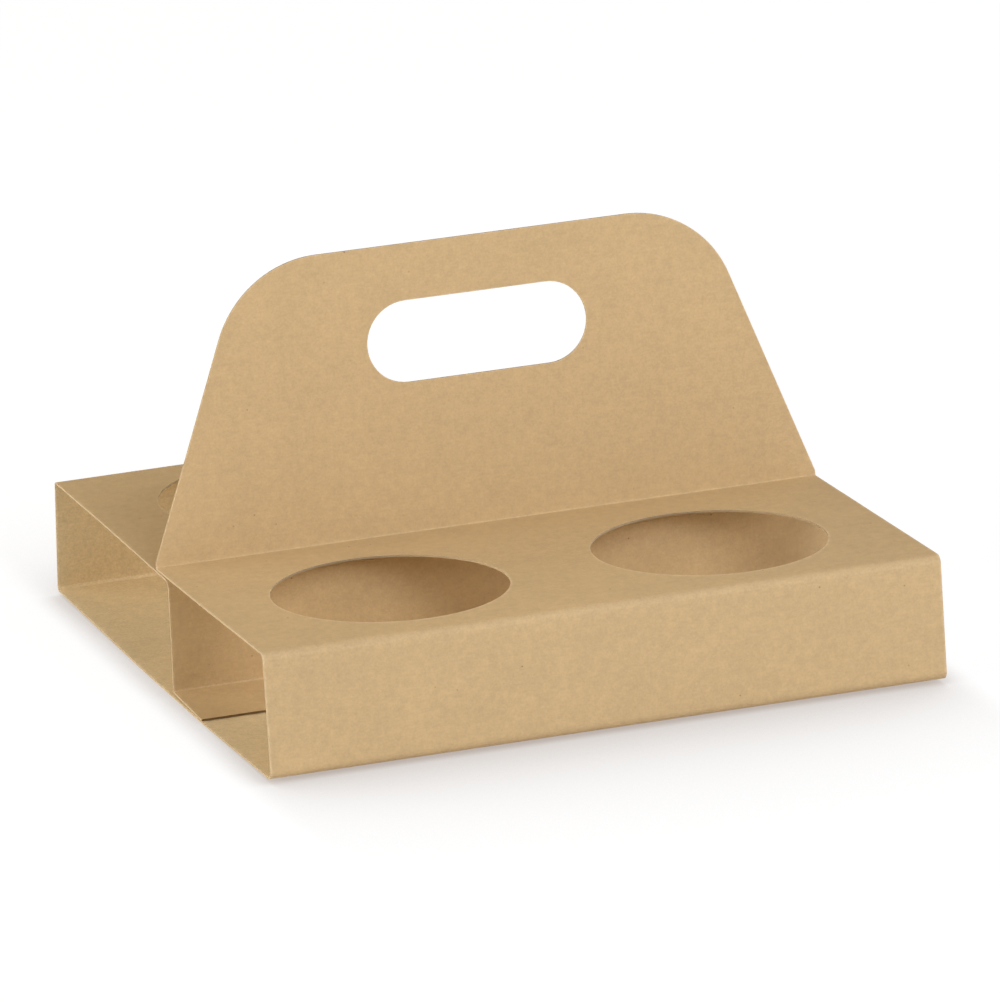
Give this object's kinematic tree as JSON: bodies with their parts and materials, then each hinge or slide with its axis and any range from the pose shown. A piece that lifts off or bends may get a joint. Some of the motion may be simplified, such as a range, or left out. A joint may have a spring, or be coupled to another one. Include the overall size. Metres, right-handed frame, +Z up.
{
  "type": "cardboard cup carrier",
  "caption": "Folded kraft card carrier: two open-ended box tubes with round cup holes in the top and an upright handle with a slot-shaped hand hole.",
  "frame": {"origin": "middle of the footprint, at the table", "axes": "+X along the folds and the handle, +Y from the front wall to the back wall, +Z up"},
  "size_m": [0.21, 0.2112, 0.1255],
  "materials": {
    "kraft_card": "uncoated brown kraft board with fine fibre mottling"
  },
  "bodies": {
    "root": {"carrier": "kraft_card"}
  },
  "joints": []
}
